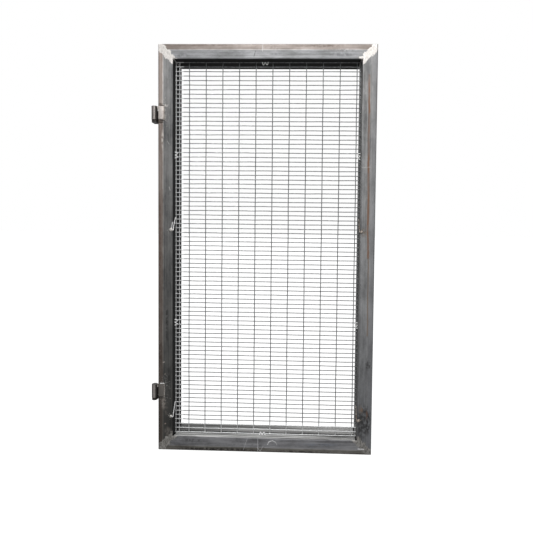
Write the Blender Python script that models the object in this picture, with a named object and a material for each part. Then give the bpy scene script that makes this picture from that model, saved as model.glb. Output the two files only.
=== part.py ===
"""A garden gate leaf of mitred steel box section with a welded-mesh infill, on two lift-off hinges.

Metres, +Z up. The front of the gate faces -Y and its hinges are on the -X side. The origin is the
centre of the underside of the bottom rail. The leaf turns on the hinge axis; each hinge's post half
(plate, seat, pin and thrust washer) stays with the post.
"""
import math

import bmesh
import bpy
from mathutils import Vector

# Leaf, over the outside of the frame tube.
WIDTH = 1.000
HEIGHT = 1.885

# Frame tube: a rectangular hollow section, its narrow side to the front.
TUBE_FACE = 0.070
TUBE_DEPTH = 0.140
TUBE_WALL = 0.003
TUBE_RADIUS = 0.007
ROUND_STEPS = 4

# Butt welds in the mitres: each fills a V groove all round the section and is ground flush.
WELD_REACH = 0.006
WELD_ROOT = 0.0022

# Welded mesh: cross wires lie in front of the line wires and a heavier rim runs round the sheet.
WIRE = 0.004
MESH_SETBACK = 0.033
MESH_CLEARANCE = 0.001
RIM_LIP = 0.0005
CROSS_PITCH = 0.0207
LINE_PITCH = 0.0775
FIRST_LINE = 0.0635
SELVEDGE_LINE = 0.0175

# Zigzag clips that hold the rim of the mesh to the inside of the frame. The reach is measured
# between the sharp corners of the zigzag, before its bends are rounded.
CLIP_WIRE = 0.0035
CLIP_BEND = 0.0025
CLIP_PITCH = 0.016
CLIP_REACH = 0.016
CLIP_BELOW_TOP = 0.500
CLIP_ABOVE_BOTTOM = 0.600
RAIL_CLIP_OFFSET = -0.012

# Bent tie wires, tacked to the front of the stiles and hooked round the rim of the mesh.
TIE_WIRE = 0.003
TIE_BEND = 0.004
TIE_LENGTH = 0.060
TIE_FOOT = 0.007
TIE_BELOW_TOP = 0.850
TIE_ABOVE_BOTTOM = 0.160

# Lift-off hinges, placed by the middle of each leaf barrel.
HINGE_BELOW_TOP = 0.315
HINGE_ABOVE_BOTTOM = 0.285
AXIS_OUTBOARD = 0.0138
AXIS_FORWARD = 0.003
BARREL_RADIUS = 0.0135
BARREL_HEIGHT = 0.063
BARREL_CHAMFER = 0.001
BORE_DEPTH = 0.055
PIN_RADIUS = 0.008
PIN_CLEARANCE = 0.0006
PIN_RISE = 0.050
PIN_TIP = 0.003
WASHER_RADIUS = 0.0125
WASHER_THICKNESS = 0.002
FLAG_INSET = 0.004
FLAG_WIDTH = 0.024
FLAG_HEIGHT = 0.059
FLAG_THICKNESS = 0.005
LUG_HEIGHT = 0.014
BEAD_RADIUS = 0.0022

# Post half: a seat under each leaf barrel, reaching back to a plate for the front of the post.
SEAT_RADIUS = 0.0125
SEAT_THICKNESS = 0.008
SEAT_REACH = 0.030
PLATE_HEIGHT = 0.060
PLATE_THICKNESS = 0.005

# Clearance between pieces that touch or are welded to each other.
GAP = 0.0003

ROUND_SIDES = 32
WIRE_SIDES = 6
BEAD_SIDES = 8

FRONT = -TUBE_DEPTH / 2
OPENING_HALF_WIDTH = WIDTH / 2 - TUBE_FACE
AXIS_X = -WIDTH / 2 - AXIS_OUTBOARD
AXIS_Y = FRONT - AXIS_FORWARD
SIDES = {"hinge_side": -1, "latch_side": 1}
ENDS = {"top": True, "bottom": False}


def clear_scene():
    for old in list(bpy.data.objects):
        bpy.data.objects.remove(old, do_unlink=True)


def make_material(name, colour, roughness, metallic):
    material = bpy.data.materials.new(name)
    material.use_nodes = True
    shader = material.node_tree.nodes["Principled BSDF"]
    shader.inputs["Base Color"].default_value = (*colour, 1.0)
    shader.inputs["Roughness"].default_value = roughness
    shader.inputs["Metallic"].default_value = metallic
    return material


def add_piece(name, bm, parent, finish, location=(0, 0, 0), smooth=False):
    """Turn a bmesh into a named object with its own material."""
    bmesh.ops.recalc_face_normals(bm, faces=bm.faces)
    mesh = bpy.data.meshes.new(name)
    bm.to_mesh(mesh)
    bm.free()
    if smooth:
        mesh.shade_smooth()
        mesh.set_sharp_from_angle(angle=math.radians(35))
    piece = bpy.data.objects.new(name, mesh)
    mesh.materials.append(make_material(name + "_finish", *finish))
    piece.location = location
    piece.parent = parent
    bpy.context.scene.collection.objects.link(piece)
    return piece


def add_empty(name, location, parent=None):
    empty = bpy.data.objects.new(name, None)
    empty.location = location
    empty.parent = parent
    bpy.context.scene.collection.objects.link(empty)
    return empty


def bridge_rings(bm, rings, closed):
    """Join equal rings of points with quads; closed also joins the last ring to the first."""
    loops = [[bm.verts.new(point) for point in ring] for ring in rings]
    pairs = list(zip(loops, loops[1:]))
    if closed:
        pairs.append((loops[-1], loops[0]))
    for first, second in pairs:
        for i in range(len(first)):
            j = (i + 1) % len(first)
            bm.faces.new((first[i], first[j], second[j], second[i]))
    if not closed:
        bm.faces.new(loops[0])
        bm.faces.new(loops[-1])


def box_bmesh(low, high, bm=None):
    bm = bm or bmesh.new()
    corners = [(x, y, z) for z in (low[2], high[2]) for y in (low[1], high[1]) for x in (low[0], high[0])]
    verts = [bm.verts.new(corner) for corner in corners]
    for face in ((0, 1, 3, 2), (4, 6, 7, 5), (0, 4, 5, 1), (2, 3, 7, 6), (0, 2, 6, 4), (1, 5, 7, 3)):
        bm.faces.new([verts[i] for i in face])
    return bm


def turned_bmesh(profile, sides=ROUND_SIDES):
    """A turned solid about +Z from (radius, height) points; a radius of 0 closes an end."""
    bm = bmesh.new()
    rings = []
    for radius, height in profile:
        count = sides if radius else 1
        angles = [2 * math.pi * i / sides for i in range(count)]
        rings.append([bm.verts.new((radius * math.cos(a), radius * math.sin(a), height)) for a in angles])
    for low, high in zip(rings, rings[1:]):
        for i in range(sides):
            j = (i + 1) % sides
            corners = [low[i % len(low)], low[j % len(low)], high[j % len(high)], high[i % len(high)]]
            bm.faces.new(list(dict.fromkeys(corners)))
    return bm


def rod_bmesh(path, radius, sides=WIRE_SIDES):
    """A round rod along a path of points, mitred at each bend and closed at both ends."""
    points = [Vector(point) for point in path]
    steps = [(b - a).normalized() for a, b in zip(points, points[1:])]
    across = steps[0].orthogonal().normalized()
    rings = []
    for i, point in enumerate(points):
        before = steps[max(i - 1, 0)]
        after = steps[min(i, len(steps) - 1)]
        plane = (before + after).normalized()
        across = (across - before * across.dot(before)).normalized()
        side = before.cross(across)
        ring = []
        for k in range(sides):
            angle = 2 * math.pi * k / sides
            spoke = (across * math.cos(angle) + side * math.sin(angle)) * radius
            # Slide the spoke along the incoming step until it lies on the mitre plane.
            ring.append(point + spoke - before * (spoke.dot(plane) / before.dot(plane)))
        rings.append(ring)
    bm = bmesh.new()
    bridge_rings(bm, rings, closed=False)
    return bm


def round_corners(points, radius, steps=3):
    """The same path with an arc of the given radius at each inner corner."""
    points = [Vector(point) for point in points]
    path = [points[0]]
    for before, corner, after in zip(points, points[1:], points[2:]):
        back, ahead = (before - corner).normalized(), (after - corner).normalized()
        half = back.angle(ahead) / 2
        centre = corner + (back + ahead).normalized() * (radius / math.sin(half))
        start, end = (corner + leg * (radius / math.tan(half)) - centre for leg in (back, ahead))
        turn = start.angle(end)
        for step in range(steps + 1):
            share = step / steps
            spoke = start * math.sin((1 - share) * turn) + end * math.sin(share * turn)
            path.append(centre + spoke / math.sin(turn))
    path.append(points[-1])
    return path


def tube_outline(inset):
    """The tube's outline in (distance in from the outer side, distance back from the front)."""
    radius = TUBE_RADIUS - inset
    near_front, near_back = TUBE_RADIUS, TUBE_DEPTH - TUBE_RADIUS
    near_out, near_in = TUBE_RADIUS, TUBE_FACE - TUBE_RADIUS
    centres = ((near_out, near_front), (near_in, near_front), (near_in, near_back), (near_out, near_back))
    outline = []
    for quarter, (across, back) in enumerate(centres):
        for step in range(ROUND_STEPS + 1):
            angle = math.pi + (quarter + step / ROUND_STEPS) * math.pi / 2
            outline.append((across + radius * math.cos(angle), back + radius * math.sin(angle)))
    return outline


def stile_point(side, top, across, back, along):
    """A point of a stile, where along is measured from the corner at that end."""
    height = HEIGHT - along if top else along
    return Vector((side * (WIDTH / 2 - across), FRONT + back, height))


def rail_point(side, top, across, back, along):
    """A point of a rail, where along is measured from the corner at that end."""
    height = HEIGHT - across if top else across
    return Vector((side * (WIDTH / 2 - along), FRONT + back, height))


def tube_end_rings(place):
    """The rings of one mitred end, from the bore out to the edge of its weld groove."""
    rings = []
    root_gap = GAP / 2 * math.sqrt(2)
    groove_gap = GAP * math.hypot(WELD_REACH, WELD_ROOT) / WELD_ROOT
    for inset, setback in (
        (TUBE_WALL, root_gap),
        (WELD_ROOT + GAP, root_gap),
        (0.0, WELD_REACH + groove_gap),
    ):
        rings.append([place(across, back, across + setback) for across, back in tube_outline(inset)])
    return rings


def add_member(name, point, start, finish_end, parent):
    """A mitred frame tube between two corners, given as (side, top) of its start and finish."""
    first = tube_end_rings(lambda a, b, s: point(*start, a, b, s))
    last = tube_end_rings(lambda a, b, s: point(*finish_end, a, b, s))
    bm = bmesh.new()
    bridge_rings(bm, first + last[::-1], closed=True)
    add_piece(name, bm, parent, ((0.16, 0.16, 0.17), 0.55, 0.7), smooth=True)


def add_corner_weld(name, side, top, parent):
    """The ground butt weld of one mitre, a closed ring round the section."""
    surface = tube_outline(0.0)
    root = tube_outline(WELD_ROOT)
    on_stile = [stile_point(side, top, a, b, a + WELD_REACH) for a, b in surface]
    on_mitre = [stile_point(side, top, a, b, a) for a, b in surface]
    on_rail = [rail_point(side, top, a, b, a + WELD_REACH) for a, b in surface]
    at_root = [stile_point(side, top, a, b, a) for a, b in root]
    bm = bmesh.new()
    bridge_rings(bm, [on_stile, on_mitre, on_rail, at_root], closed=True)
    add_piece(name, bm, parent, ((0.62, 0.61, 0.58), 0.35, 0.9), smooth=True)


def add_mesh_panel(parent):
    """The infill: one closed body whose wires cross with a gap and join at the rim."""
    half_width = OPENING_HALF_WIDTH - MESH_CLEARANCE
    low, high = TUBE_FACE + MESH_CLEARANCE, HEIGHT - TUBE_FACE - MESH_CLEARANCE
    cross_front = FRONT + MESH_SETBACK
    line_front = cross_front + WIRE + GAP
    rim_front, rim_back = cross_front - RIM_LIP, line_front + WIRE + RIM_LIP
    rim = bmesh.new()
    loops = []
    for inset in (0.0, WIRE):
        for depth in (rim_front, rim_back):
            x, bottom, top = half_width - inset, low + inset, high - inset
            loops.append([(-x, depth, bottom), (x, depth, bottom), (x, depth, top), (-x, depth, top)])
    outer_front, outer_back, inner_front, inner_back = loops
    bridge_rings(rim, [outer_front, outer_back, inner_back, inner_front], closed=True)
    panel = add_piece("mesh_panel", rim, parent, ((0.55, 0.56, 0.57), 0.4, 0.9))

    wires = bmesh.new()
    reach = half_width - WIRE / 2
    cells = round((high - low - WIRE) / CROSS_PITCH)
    pitch = (high - low - WIRE) / cells
    for i in range(1, cells):
        bottom = low + i * pitch
        box_bmesh((-reach, cross_front, bottom), (reach, cross_front + WIRE, bottom + WIRE), wires)
    line_count = int((2 * OPENING_HALF_WIDTH - FIRST_LINE - 2 * WIRE) / LINE_PITCH) + 1
    lines = [SELVEDGE_LINE] + [FIRST_LINE + i * LINE_PITCH for i in range(line_count)]
    for offset in lines:
        left = -OPENING_HALF_WIDTH + offset
        right = left + WIRE
        box_bmesh((left, line_front, low + WIRE / 2), (right, line_front + WIRE, high - WIRE / 2), wires)
    bmesh.ops.recalc_face_normals(wires, faces=wires.faces)
    cutter_mesh = bpy.data.meshes.new("mesh_wires")
    wires.to_mesh(cutter_mesh)
    wires.free()
    cutter = bpy.data.objects.new("mesh_wires", cutter_mesh)
    cutter.hide_render = True
    cutter.display_type = "WIRE"
    cutter.parent = parent
    bpy.context.scene.collection.objects.link(cutter)
    union = panel.modifiers.new("join wires to rim", "BOOLEAN")
    union.operation = "UNION"
    union.object = cutter


def add_mesh_clip(name, middle, along, inward, parent):
    """A zigzag wire clip: its peaks meet the frame and its valleys pass in front of the rim."""
    middle, along, inward = Vector(middle), Vector(along), Vector(inward)
    half_angle = math.atan(CLIP_PITCH / 2 / CLIP_REACH)
    rounding = CLIP_BEND / math.sin(half_angle) - CLIP_BEND
    clear = CLIP_WIRE / 2 + GAP
    peak = clear - rounding
    valley = peak + CLIP_REACH
    end = clear + CLIP_WIRE / 2
    end_along = CLIP_PITCH / 2 * (valley - end) / CLIP_REACH
    corners = [(-CLIP_PITCH / 2 - end_along, end), (-CLIP_PITCH / 2, valley), (0, peak)]
    corners += [(CLIP_PITCH / 2, valley), (CLIP_PITCH / 2 + end_along, end)]
    path = round_corners([middle + along * a + inward * b for a, b in corners], CLIP_BEND)
    add_piece(name, rod_bmesh(path, CLIP_WIRE / 2), parent, ((0.75, 0.76, 0.77), 0.3, 0.9), smooth=True)


def add_clips(parent):
    depth = FRONT + MESH_SETBACK - RIM_LIP - GAP - CLIP_WIRE / 2
    heights = {"upper": HEIGHT - CLIP_BELOW_TOP, "lower": CLIP_ABOVE_BOTTOM}
    for side_name, side in SIDES.items():
        for level, height in heights.items():
            middle = (side * OPENING_HALF_WIDTH, depth, height)
            add_mesh_clip(f"mesh_clip_{side_name}_{level}", middle, (0, 0, 1), (-side, 0, 0), parent)
    middle = (RAIL_CLIP_OFFSET, depth, HEIGHT - TUBE_FACE)
    add_mesh_clip("mesh_clip_top", middle, (1, 0, 0), (0, 0, -1), parent)
    middle = (RAIL_CLIP_OFFSET, depth, TUBE_FACE)
    add_mesh_clip("mesh_clip_bottom", middle, (1, 0, 0), (0, 0, 1), parent)


def add_ties(parent):
    radius = TIE_WIRE / 2
    clear = radius + GAP
    behind = FRONT + MESH_SETBACK - RIM_LIP - clear
    heights = {"upper": HEIGHT - TIE_BELOW_TOP, "lower": TIE_ABOVE_BOTTOM}
    for side_name, side in SIDES.items():
        for level, height in heights.items():
            edge = OPENING_HALF_WIDTH - clear
            path = [
                (side * edge, behind, height + TIE_LENGTH),
                (side * edge, FRONT + TUBE_RADIUS / 2, height + TIE_LENGTH / 4),
                (side * edge, FRONT - clear, height),
                (side * (edge + TUBE_RADIUS + TIE_FOOT), FRONT - clear, height - TIE_FOOT / 4),
            ]
            bm = rod_bmesh(round_corners(path, TIE_BEND), radius)
            finish = ((0.72, 0.73, 0.74), 0.35, 0.9)
            add_piece(f"mesh_tie_{side_name}_{level}", bm, parent, finish, smooth=True)


def barrel_bmesh():
    """The leaf's barrel from its open mouth at height 0 up, with a blind bore for the pin."""
    bore = PIN_RADIUS + PIN_CLEARANCE
    outer, top, c = BARREL_RADIUS, BARREL_HEIGHT, BARREL_CHAMFER
    profile = [(0, BORE_DEPTH), (bore, BORE_DEPTH), (bore, 0), (outer - c, 0), (outer, c)]
    profile += [(outer, top - c), (outer - c, top), (0, top)]
    return turned_bmesh(profile)


def flag_bmesh():
    """The flat L-shaped flag on the front of the stile, hanging down from height 0.

    The lug at its top reaches to the barrel's side at the axis.
    """
    lug_end = BARREL_RADIUS + GAP
    near = AXIS_OUTBOARD + FLAG_INSET
    far = near + FLAG_WIDTH
    outline = [(lug_end, 0.0), (far, 0.0), (far, -FLAG_HEIGHT)]
    outline += [(near, -FLAG_HEIGHT), (near, -LUG_HEIGHT), (lug_end, -LUG_HEIGHT)]
    back = AXIS_FORWARD - GAP
    rings = [[(x, y, z) for x, z in outline] for y in (back - FLAG_THICKNESS, back)]
    bm = bmesh.new()
    bridge_rings(bm, rings, closed=False)
    return bm


def flag_weld_path():
    """The line of the fillet weld round the three outer edges of the flag."""
    clear = BEAD_RADIUS + GAP
    near = AXIS_OUTBOARD + FLAG_INSET + TUBE_RADIUS
    far = AXIS_OUTBOARD + FLAG_INSET + FLAG_WIDTH + clear
    depth = AXIS_FORWARD - clear
    high, low = clear, -FLAG_HEIGHT - clear
    return [(near, depth, high), (far, depth, high), (far, depth, low), (near, depth, low)]


def barrel_weld_path():
    """The line of the bead in the corner between the flag's lug and the barrel."""
    lug_front = AXIS_FORWARD - GAP - FLAG_THICKNESS
    depth = lug_front - GAP - BEAD_RADIUS
    across = math.sqrt((BARREL_RADIUS + GAP + BEAD_RADIUS) ** 2 - depth ** 2)
    return [(across, depth, BEAD_RADIUS - LUG_HEIGHT), (across, depth, -BEAD_RADIUS)]


def seat_bmesh():
    """The pin's seat from its top at height 0 down: round in front, square where it meets the plate."""
    hole, edge = [], []
    for i in range(ROUND_SIDES):
        angle = 2 * math.pi * i / ROUND_SIDES
        across, back = math.cos(angle), math.sin(angle)
        reach = SEAT_RADIUS
        if back > 0:
            reach = min(SEAT_RADIUS / max(abs(across), SEAT_RADIUS / SEAT_REACH), SEAT_REACH / back)
        hole.append(((PIN_RADIUS + GAP) * across, (PIN_RADIUS + GAP) * back))
        edge.append((reach * across, reach * back))
    bm = bmesh.new()
    corners = ((edge, 0.0), (edge, -SEAT_THICKNESS), (hole, -SEAT_THICKNESS), (hole, 0.0))
    bridge_rings(bm, [[(x, y, z) for x, y in outline] for outline, z in corners], closed=True)
    return bm


def washer_bmesh():
    """The thrust washer, from its top at height 0 down."""
    angles = [2 * math.pi * i / ROUND_SIDES for i in range(ROUND_SIDES)]
    inner = PIN_RADIUS + GAP
    foot = -WASHER_THICKNESS
    profile = [(inner, 0), (WASHER_RADIUS, 0), (WASHER_RADIUS, foot), (inner, foot)]
    bm = bmesh.new()
    rings = [[(radius * math.cos(a), radius * math.sin(a), z) for a in angles] for radius, z in profile]
    bridge_rings(bm, rings, closed=True)
    return bm


def pin_bmesh():
    """The hinge pin, its foot flush with the underside of the seat, whose top is at height 0."""
    top = WASHER_THICKNESS + 2 * GAP + PIN_RISE
    profile = [(0, -SEAT_THICKNESS), (PIN_RADIUS, -SEAT_THICKNESS), (PIN_RADIUS, top - PIN_TIP)]
    profile += [(PIN_RADIUS - PIN_TIP, top), (0, top)]
    return turned_bmesh(profile)


def add_hinge(level, height, leaf, post):
    """One lift-off hinge; every piece is placed from the hinge axis at the barrel's mouth."""
    steel = ((0.45, 0.45, 0.46), 0.38, 0.9)
    weld = ((0.30, 0.29, 0.28), 0.5, 0.8)
    pin_steel = ((0.60, 0.60, 0.61), 0.25, 0.95)
    brass = ((0.60, 0.48, 0.22), 0.35, 0.9)
    mouth = (AXIS_X, AXIS_Y, height - BARREL_HEIGHT / 2)
    flag_top = (AXIS_X, AXIS_Y, mouth[2] + BARREL_HEIGHT)
    washer_top = (AXIS_X, AXIS_Y, mouth[2] - GAP)
    seat_top = (AXIS_X, AXIS_Y, washer_top[2] - WASHER_THICKNESS - GAP)

    add_piece(f"{level}_leaf_barrel", barrel_bmesh(), leaf, steel, mouth, smooth=True)
    add_piece(f"{level}_leaf_flag", flag_bmesh(), leaf, steel, flag_top)
    bead = rod_bmesh(flag_weld_path(), BEAD_RADIUS, BEAD_SIDES)
    add_piece(f"{level}_leaf_flag_weld", bead, leaf, weld, flag_top, smooth=True)
    bead = rod_bmesh(barrel_weld_path(), BEAD_RADIUS, BEAD_SIDES)
    add_piece(f"{level}_leaf_barrel_weld", bead, leaf, weld, flag_top, smooth=True)

    add_piece(f"{level}_thrust_washer", washer_bmesh(), post, brass, washer_top, smooth=True)
    add_piece(f"{level}_pin", pin_bmesh(), post, pin_steel, seat_top, smooth=True)
    add_piece(f"{level}_post_seat", seat_bmesh(), post, steel, seat_top, smooth=True)
    plate_front = SEAT_REACH + GAP
    plate = box_bmesh((-SEAT_RADIUS, plate_front, -SEAT_THICKNESS),
                      (SEAT_RADIUS, plate_front + PLATE_THICKNESS, PLATE_HEIGHT - SEAT_THICKNESS))
    add_piece(f"{level}_post_plate", plate, post, steel, seat_top)
    clear = BEAD_RADIUS + GAP
    end = SEAT_RADIUS - BEAD_RADIUS
    path = [(-end, plate_front - clear, clear), (end, plate_front - clear, clear)]
    bead = rod_bmesh(path, BEAD_RADIUS, BEAD_SIDES)
    add_piece(f"{level}_post_seat_weld", bead, post, weld, seat_top, smooth=True)


def build_gate():
    clear_scene()
    post = add_empty("post_side", (0, 0, 0))
    leaf_pivot = add_empty("leaf_pivot", (AXIS_X, AXIS_Y, 0))
    leaf = add_empty("leaf", (-AXIS_X, -AXIS_Y, 0), leaf_pivot)

    add_member("hinge_stile", stile_point, (-1, False), (-1, True), leaf)
    add_member("latch_stile", stile_point, (1, False), (1, True), leaf)
    add_member("top_rail", rail_point, (-1, True), (1, True), leaf)
    add_member("bottom_rail", rail_point, (-1, False), (1, False), leaf)
    for top_name, top in ENDS.items():
        for side_name, side in SIDES.items():
            add_corner_weld(f"corner_weld_{top_name}_{side_name}", side, top, leaf)
    add_mesh_panel(leaf)
    add_clips(leaf)
    add_ties(leaf)
    add_hinge("upper", HEIGHT - HINGE_BELOW_TOP, leaf, post)
    add_hinge("lower", HINGE_ABOVE_BOTTOM, leaf, post)


build_gate()
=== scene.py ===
"""Looks of a bare steel garden gate leaf with a welded-mesh infill, hung on two lift-off hinges.

Metres, +Z up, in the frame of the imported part: the front faces -Y and the hinges are on the -X side.
The sections follow the gate as it is put together, from the frame tube to the post halves of the hinges.
"""
import math
import random

import bmesh
import bpy
from mathutils import Matrix, Vector


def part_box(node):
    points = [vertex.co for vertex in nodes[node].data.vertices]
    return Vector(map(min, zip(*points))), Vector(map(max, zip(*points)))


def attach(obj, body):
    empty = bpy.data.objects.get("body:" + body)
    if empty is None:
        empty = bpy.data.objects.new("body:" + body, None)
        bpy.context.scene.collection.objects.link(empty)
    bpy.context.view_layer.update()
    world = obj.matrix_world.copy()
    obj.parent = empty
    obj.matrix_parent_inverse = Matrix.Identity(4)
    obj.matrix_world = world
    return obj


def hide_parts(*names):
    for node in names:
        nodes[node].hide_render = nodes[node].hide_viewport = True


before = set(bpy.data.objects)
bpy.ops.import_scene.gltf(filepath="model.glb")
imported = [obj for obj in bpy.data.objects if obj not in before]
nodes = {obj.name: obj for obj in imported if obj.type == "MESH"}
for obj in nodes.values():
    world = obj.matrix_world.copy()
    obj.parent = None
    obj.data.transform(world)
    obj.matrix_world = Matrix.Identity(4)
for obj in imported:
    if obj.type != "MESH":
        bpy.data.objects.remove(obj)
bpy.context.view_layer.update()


# ---------------------------------------------------------------------------------------------
# Frame tube: two stiles and two rails of 140 x 70 x 3 mm cold-formed hollow section, mitred at
# the corners and left bare. Blue-grey mill scale covers it, drawn out along the tube by the
# forming rolls, with a paler line where two rolls met and brown dust on the outer third.
# ---------------------------------------------------------------------------------------------
LEAF_HALF_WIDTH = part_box("latch_stile")[1].x
LEAF_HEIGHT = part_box("latch_stile")[1].z
TUBE_FACE = LEAF_HALF_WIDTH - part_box("latch_stile")[0].x
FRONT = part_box("latch_stile")[0].y
MESH_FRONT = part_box("mesh_panel")[0].y

DRAW_STREAK = 0.0045        # width of a streak left by the forming rolls
DRAW_STREAK_LENGTH = 0.300
SCALE_PATCH = 0.055         # islands of thicker and thinner scale
SCALE_GRAIN = 0.0016        # real grit is finer; this is as coarse as it needs to be to show
DUST_BAND = 0.0225          # outer part of each face, browned by dust and flash rust
ROLL_LINE = 0.0016          # half width of the pale line at the edge of that band
DUST_COVER = 0.85           # how much of the scale the dust hides
DUST_RAGGED = 0.0015        # how far the edge of the band wanders to either side
SHADE_MARGIN = 0.15          # painted shade towards the bottom is full this far above the foot, gone this far below the head
DRESSED_HALF_WIDTH = 0.0175  # reach of the grinding disc on each side of a mitre
SCALLOP = 0.014             # spacing of the disc's overlapping passes, and their least and most reach
SCALLOP_REACH = (-0.006, 0.005)
DISC_MARK = (0.0016, 0.0016, 0.0120)    # real disc scratches are finer; these are as coarse as shows
SHADED_BELOW, LIT_ABOVE = 0.4, 1.4     # heights between which dressed metal goes from painted shade below to bright above
MESH_SHADOW_AT = 0.014         # middle of the painted shadow of the mesh on the rails, behind its front
MESH_SHADOW_REACH = (0.008, 0.014)  # that line is full to the first distance and gone at the second


def linear(code):
    """An sRGB hex colour as linear RGBA."""
    channels = [int(code[i:i + 2], 16) / 255 for i in (1, 3, 5)]
    return (*[c / 12.92 if c <= 0.04045 else ((c + 0.055) / 1.055) ** 2.4 for c in channels], 1.0)


def add_node(tree, kind, inputs, **settings):
    """Add one node, with its settings, and with each input linked to a socket or set to a value."""
    node = tree.nodes.new(kind)
    for name, value in settings.items():
        setattr(node, name, value)
    for key, value in inputs.items():
        if isinstance(value, bpy.types.NodeSocket):
            tree.links.new(value, node.inputs[key])
        else:
            node.inputs[key].default_value = value
    return node


def start_finish(name, metallic, roughness):
    """A new material with its node tree, shader and texture coordinates."""
    material = bpy.data.materials.new(name)
    material.use_nodes = True
    tree = material.node_tree
    shader = tree.nodes["Principled BSDF"]
    shader.inputs["Metallic"].default_value = metallic
    shader.inputs["Roughness"].default_value = roughness
    return material, tree, shader, add_node(tree, "ShaderNodeTexCoord", {}).outputs


def grain(tree, where, cell, detail=3.0, roughness=0.6):
    """Noise whose cells have the given size in metres along X, Y and Z."""
    stretched = add_node(tree, "ShaderNodeVectorMath", {0: where, 1: [1 / side for side in cell]},
                         operation="MULTIPLY")
    noise = add_node(tree, "ShaderNodeTexNoise", {"Vector": stretched.outputs[0], "Scale": 1.0,
                                                  "Detail": detail, "Roughness": roughness})
    return noise.outputs[0]


def patch(tree, where, centre, half_sizes, soft):
    """1 inside an ellipse in the plane of the gate, falling to 0 at its rim; soft is 0 to 1."""
    offset = add_node(tree, "ShaderNodeVectorMath", {0: where, 1: (centre[0], 0, centre[1])},
                      operation="SUBTRACT")
    scaled = add_node(tree, "ShaderNodeVectorMath",
                      {0: offset.outputs[0], 1: (1 / half_sizes[0], 0, 1 / half_sizes[1])},
                      operation="MULTIPLY")
    reach = add_node(tree, "ShaderNodeVectorMath", {0: scaled.outputs[0]}, operation="LENGTH")
    return add_node(tree, "ShaderNodeMapRange", {0: reach.outputs[1], 1: 1 - soft, 2: 1.0, 3: 1.0, 4: 0.0},
                    interpolation_type="SMOOTHSTEP").outputs[0]


def stroke(tree, where, start, end, half_width):
    """1 along a straight stroke between two (x, z) points in the plane of the gate."""
    along = Vector((end[0] - start[0], 0, end[1] - start[1]))
    offset = add_node(tree, "ShaderNodeVectorMath", {0: where, 1: (start[0], 0, start[1])},
                      operation="SUBTRACT")
    flat = add_node(tree, "ShaderNodeVectorMath", {0: offset.outputs[0], 1: (1, 0, 1)}, operation="MULTIPLY")
    share = add_node(tree, "ShaderNodeVectorMath", {0: flat.outputs[0], 1: along / along.length_squared},
                     operation="DOT_PRODUCT")
    held = add_node(tree, "ShaderNodeClamp", {0: share.outputs[1]})
    foot = add_node(tree, "ShaderNodeVectorMath", {0: along, "Scale": held.outputs[0]}, operation="SCALE")
    apart = add_node(tree, "ShaderNodeVectorMath", {0: flat.outputs[0], 1: foot.outputs[0]},
                     operation="DISTANCE")
    return add_node(tree, "ShaderNodeMapRange",
                    {0: apart.outputs[1], 1: half_width * 0.4, 2: half_width * 1.4, 3: 1.0, 4: 0.0},
                    interpolation_type="SMOOTHSTEP").outputs[0]


def gate_edges(tree, where):
    """Distances in from the leaf's nearer side and from its nearer end, and the height."""
    point = add_node(tree, "ShaderNodeSeparateXYZ", {0: where}).outputs
    sideways = add_node(tree, "ShaderNodeMath", {0: point[0]}, operation="ABSOLUTE").outputs[0]
    from_side = add_node(tree, "ShaderNodeMath", {0: LEAF_HALF_WIDTH, 1: sideways}, operation="SUBTRACT")
    upright = add_node(tree, "ShaderNodeMath", {0: point[2], 1: LEAF_HEIGHT / 2}, operation="SUBTRACT")
    upright = add_node(tree, "ShaderNodeMath", {0: upright.outputs[0]}, operation="ABSOLUTE")
    from_end = add_node(tree, "ShaderNodeMath", {0: LEAF_HEIGHT / 2, 1: upright.outputs[0]},
                        operation="SUBTRACT")
    return from_side.outputs[0], from_end.outputs[0], point


def dressed_metal(tree, where, height):
    """Colour of a mitre dressed with a disc: bright at the top of the leaf, darker towards the bottom as
    painted shade.
    """
    disc_marks = grain(tree, where, DISC_MARK, detail=2.0)
    bright = add_node(tree, "ShaderNodeValToRGB", {0: disc_marks})
    bright.color_ramp.elements[0].position, bright.color_ramp.elements[1].position = 0.30, 0.62
    bright.color_ramp.elements[0].color = linear("#bdb8b3")
    bright.color_ramp.elements[1].color = linear("#f0ece7")
    shaded_grinding = add_node(tree, "ShaderNodeValToRGB", {0: disc_marks})
    shaded_grinding.color_ramp.elements[0].position, shaded_grinding.color_ramp.elements[1].position = 0.36, 0.64
    shaded_grinding.color_ramp.elements[0].color = linear("#55534e")
    shaded_grinding.color_ramp.elements[1].color = linear("#b9b6b1")
    upper = add_node(tree, "ShaderNodeMapRange", {0: height, 1: SHADED_BELOW, 2: LIT_ABOVE})
    metal = add_node(tree, "ShaderNodeMix", {0: upper.outputs[0], 6: shaded_grinding.outputs[0], 7: bright.outputs[0]},
                     data_type="RGBA")
    return metal.outputs[2], disc_marks


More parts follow.
